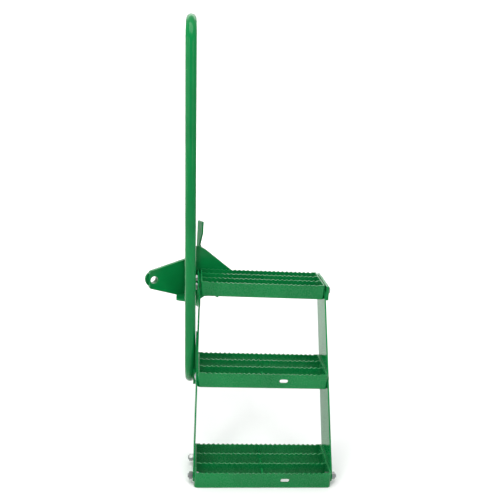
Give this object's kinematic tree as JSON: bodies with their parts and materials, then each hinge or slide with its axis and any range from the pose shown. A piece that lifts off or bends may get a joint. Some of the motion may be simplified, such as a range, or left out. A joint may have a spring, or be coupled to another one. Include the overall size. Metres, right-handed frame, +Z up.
{
  "type": "tailgate step",
  "caption": "Step with serrated open treads bolted between slanting flat side bars, a tall loop handrail at the left, and a welded bracket with a pivot bore behind the top tread.",
  "frame": {"origin": "centre of the pivot bore's rear mouth, on the bore's axis at the boss's rear face", "axes": "+Z up, +X to the right along the treads as a person climbing sees them, +Y forwards as they climb, towards the vehicle"},
  "size_m": [0.6177, 0.5107, 1.3458],
  "materials": {
    "green_powder_coat": "glossy green powder coat over welded steel",
    "zinc_plate": "zinc plate on bolts and nuts"
  },
  "bodies": {
    "root": {"ear_plate": "green_powder_coat", "handrail": "green_powder_coat", "hanger_plate": "green_powder_coat", "left_arm": "green_powder_coat", "left_stringer": "green_powder_coat", "lower_left_front_bolt": "zinc_plate", "lower_left_front_nut": "zinc_plate", "lower_left_rear_bolt": "zinc_plate", "lower_left_rear_nut": "zinc_plate", "lower_right_front_bolt": "zinc_plate", "lower_right_front_nut": "zinc_plate", "lower_right_rear_bolt": "zinc_plate", "lower_right_rear_nut": "zinc_plate", "lower_tread_bar_front": "green_powder_coat", "lower_tread_bar_middle": "green_powder_coat", "lower_tread_bar_rear": "green_powder_coat", "lower_tread_cross_rod": "green_powder_coat", "lower_tread_frame": "green_powder_coat", "lower_web": "green_powder_coat", "middle_left_front_bolt": "zinc_plate", "middle_left_front_nut": "zinc_plate", "middle_left_rear_bolt": "zinc_plate", "middle_left_rear_nut": "zinc_plate", "middle_right_front_bolt": "zinc_plate", "middle_right_front_nut": "zinc_plate", "middle_right_rear_bolt": "zinc_plate", "middle_right_rear_nut": "zinc_plate", "middle_tread_bar_front": "green_powder_coat", "middle_tread_bar_middle": "green_powder_coat", "middle_tread_bar_rear": "green_powder_coat", "middle_tread_cross_rod": "green_powder_coat", "middle_tread_frame": "green_powder_coat", "pivot_boss": "green_powder_coat", "rail_lug": "green_powder_coat", "right_arm": "green_powder_coat", "right_stringer": "green_powder_coat", "stop_finger": "green_powder_coat", "upper_left_front_bolt": "zinc_plate", "upper_left_front_nut": "zinc_plate", "upper_left_rear_bolt": "zinc_plate", "upper_left_rear_nut": "zinc_plate", "upper_right_front_bolt": "zinc_plate", "upper_right_front_nut": "zinc_plate", "upper_right_rear_bolt": "zinc_plate", "upper_right_rear_nut": "zinc_plate", "upper_tread_bar_front": "green_powder_coat", "upper_tread_bar_middle": "green_powder_coat", "upper_tread_bar_rear": "green_powder_coat", "upper_tread_cross_rod": "green_powder_coat", "upper_tread_frame": "green_powder_coat"}
  },
  "joints": []
}
